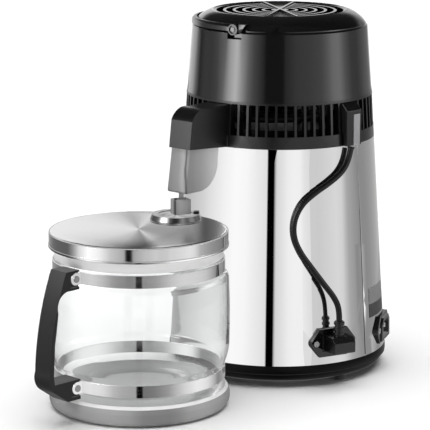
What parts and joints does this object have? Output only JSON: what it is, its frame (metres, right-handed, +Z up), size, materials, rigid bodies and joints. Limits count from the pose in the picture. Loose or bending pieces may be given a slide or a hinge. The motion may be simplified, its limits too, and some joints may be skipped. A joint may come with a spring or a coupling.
{
  "type": "water distiller",
  "caption": "Countertop water distiller: tapered steel boiler on a black base, lift-off fan head with a slatted ring and drip spout, and a glass carafe with a steel lid.",
  "frame": {"origin": "the tank's axis on the table", "axes": "+Z up along the tank, -X towards the spout and the carafe, +Y towards the side where the bail lies folded"},
  "size_m": [0.4543, 0.2456, 0.3728],
  "materials": {
    "black_plastic": "satin moulded black",
    "black_rubber": "matt",
    "polished_steel": "polished stainless sheet",
    "brushed_steel": "brushed stainless sheet",
    "screw_steel": "plated",
    "brass": "plated brass",
    "clear_glass": "clear",
    "clear_plastic": "smoky translucent",
    "silicone": "white silicone",
    "foil": "satin foil",
    "motor_paint": "dark paint"
  },
  "bodies": {
    "tank": {"base_ring": "black_plastic", "base_plate": "brushed_steel", "outer_shell": "polished_steel", "boiler_pot": "brushed_steel", "heating_element": "brushed_steel", "thermostat": "motor_paint", "fan_socket": "black_plastic", "fan_lead_plug": "black_plastic", "fan_lead": "black_rubber", "mains_inlet": "black_plastic", "inlet_pin_live": "brass", "inlet_pin_neutral": "brass", "inlet_pin_earth": "brass", "rating_plate": "foil", "base_screw_1": "screw_steel", "base_screw_2": "screw_steel", "base_screw_3": "screw_steel", "base_screw_4": "screw_steel", "inlet_screw_1": "screw_steel", "inlet_screw_2": "screw_steel", "rubber_foot_1": "black_rubber", "rubber_foot_2": "black_rubber", "rubber_foot_3": "black_rubber", "rubber_foot_4": "black_rubber", "socket_screw_1": "screw_steel", "socket_screw_2": "screw_steel"},
    "head": {"bail_screw_1": "screw_steel", "bail_screw_2": "screw_steel", "condenser_coil": "brushed_steel", "condenser_lid": "brushed_steel", "fan_motor": "motor_paint", "filter_cup": "clear_plastic", "head_cup": "black_plastic", "lead_gland": "black_rubber", "lead_tower": "black_plastic", "lid_gasket": "silicone", "motor_bracket": "black_plastic", "spout_body": "polished_steel", "spout_cover": "black_plastic", "top_dome": "black_plastic", "tower_plate": "foil", "vent_ring": "black_plastic"},
    "fan": {"fan_shaft": "screw_steel", "fan_rotor": "black_plastic", "fan_nut": "screw_steel"},
    "bail": {"bail_handle": "black_plastic"},
    "carafe": {"carafe_glass": "clear_glass", "carafe_base": "brushed_steel", "upper_band": "brushed_steel", "lower_band": "brushed_steel", "upper_bolt": "screw_steel", "lower_bolt": "screw_steel", "carafe_handle": "black_plastic"},
    "lid": {"carafe_lid": "polished_steel", "lid_seal": "silicone"},
    "cap": {"cap_ring": "black_plastic", "drip_chute": "clear_plastic", "cap_knob": "black_plastic"}
  },
  "joints": [
    {"name": "head_lift", "type": "slide", "parent": "tank", "child": "head", "axis": [0, 0, 1], "range_m": [0, 0.06]},
    {"name": "fan_spin", "type": "hinge", "parent": "head", "child": "fan", "pos_m": [0, 0, 0.34], "axis": [0, 0, 1], "continuous": true},
    {"name": "bail_swing", "type": "hinge", "parent": "head", "child": "bail", "pos_m": [0, 0, 0.3603], "axis": [0.9903, 0.1392, 0], "range_deg": [0, 95]},
    {"name": "carafe_pull", "type": "slide", "parent": "tank", "child": "carafe", "axis": [-1, 0, 0], "range_m": [0, 0.2]},
    {"name": "lid_turn", "type": "hinge", "parent": "carafe", "child": "lid", "pos_m": [-0.214, 0, 0.17], "axis": [0, 0, 1], "continuous": true},
    {"name": "cap_turn", "type": "hinge", "parent": "lid", "child": "cap", "pos_m": [-0.1601, 0, 0.17], "axis": [0, 0, 1], "continuous": true}
  ]
}
